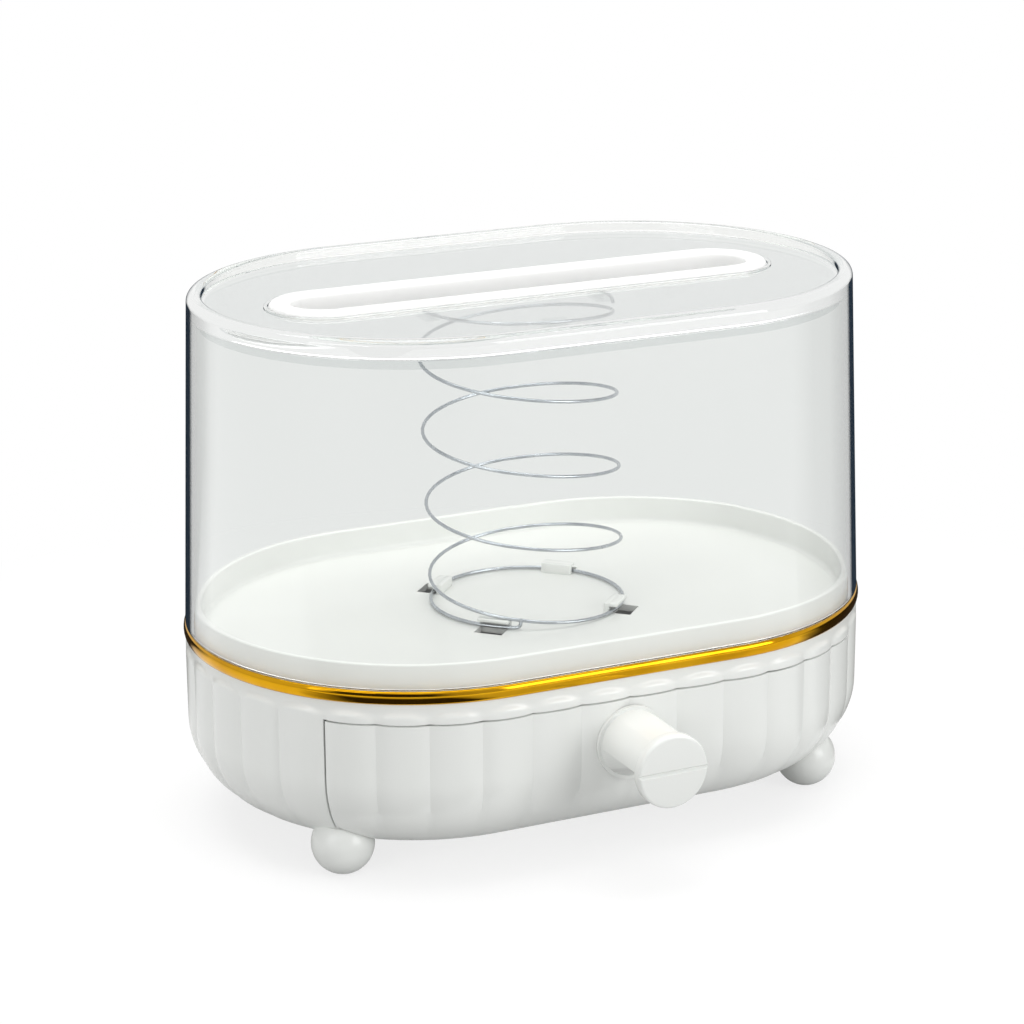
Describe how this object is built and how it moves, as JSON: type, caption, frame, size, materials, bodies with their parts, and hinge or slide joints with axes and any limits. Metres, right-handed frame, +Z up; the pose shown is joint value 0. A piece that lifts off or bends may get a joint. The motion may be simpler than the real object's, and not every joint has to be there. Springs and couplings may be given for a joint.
{
  "type": "tissue box holder",
  "caption": "Tissue box holder with a see-through lift-off cover, a spring-raised plate under its slot, and a fluted base with a drawer on ball feet.",
  "frame": {"origin": "on the table the feet stand on, under the middle of the whole holder's outline, its knob included", "axes": "+X along the holder to the right as seen from its drawer, +Y to its back, +Z up; the drawer opens towards -Y"},
  "size_m": [0.2196, 0.1728, 0.1665],
  "materials": {
    "white_plastic": "moulded, semi-gloss",
    "clear_plastic": "clear, polished",
    "gold_plating": "gold plated, polished",
    "spring_steel": "bright drawn wire",
    "screw_steel": "zinc plated"
  },
  "bodies": {
    "base": {"base_shell": "white_plastic", "plated_band": "gold_plating", "deck_tray": "white_plastic", "foot_front_left": "white_plastic", "foot_front_right": "white_plastic", "foot_back_left": "white_plastic", "foot_back_right": "white_plastic", "foot_screws": "screw_steel", "deck_screws": "screw_steel", "lift_spring": "spring_steel"},
    "plate": {"lift_plate": "clear_plastic"},
    "cover": {"clear_cover": "clear_plastic", "slot_bezel": "white_plastic"},
    "drawer": {"drawer_box": "white_plastic", "drawer_front": "white_plastic", "drawer_knob": "white_plastic", "front_screws": "screw_steel", "knob_screw": "screw_steel"}
  },
  "joints": [
    {"name": "cover_lift", "type": "slide", "parent": "base", "child": "cover", "axis": [0, 0, 1], "range_m": [0, 0.105]},
    {"name": "plate_press", "type": "slide", "parent": "base", "child": "plate", "axis": [0, 0, -1], "range_m": [0, 0.08], "stiffness_N_per_m": 16, "springref_m": -0.06, "deforming": ["lift_spring"]},
    {"name": "drawer_slide", "type": "slide", "parent": "base", "child": "drawer", "axis": [0, -1, 0], "range_m": [0, 0.09]}
  ]
}
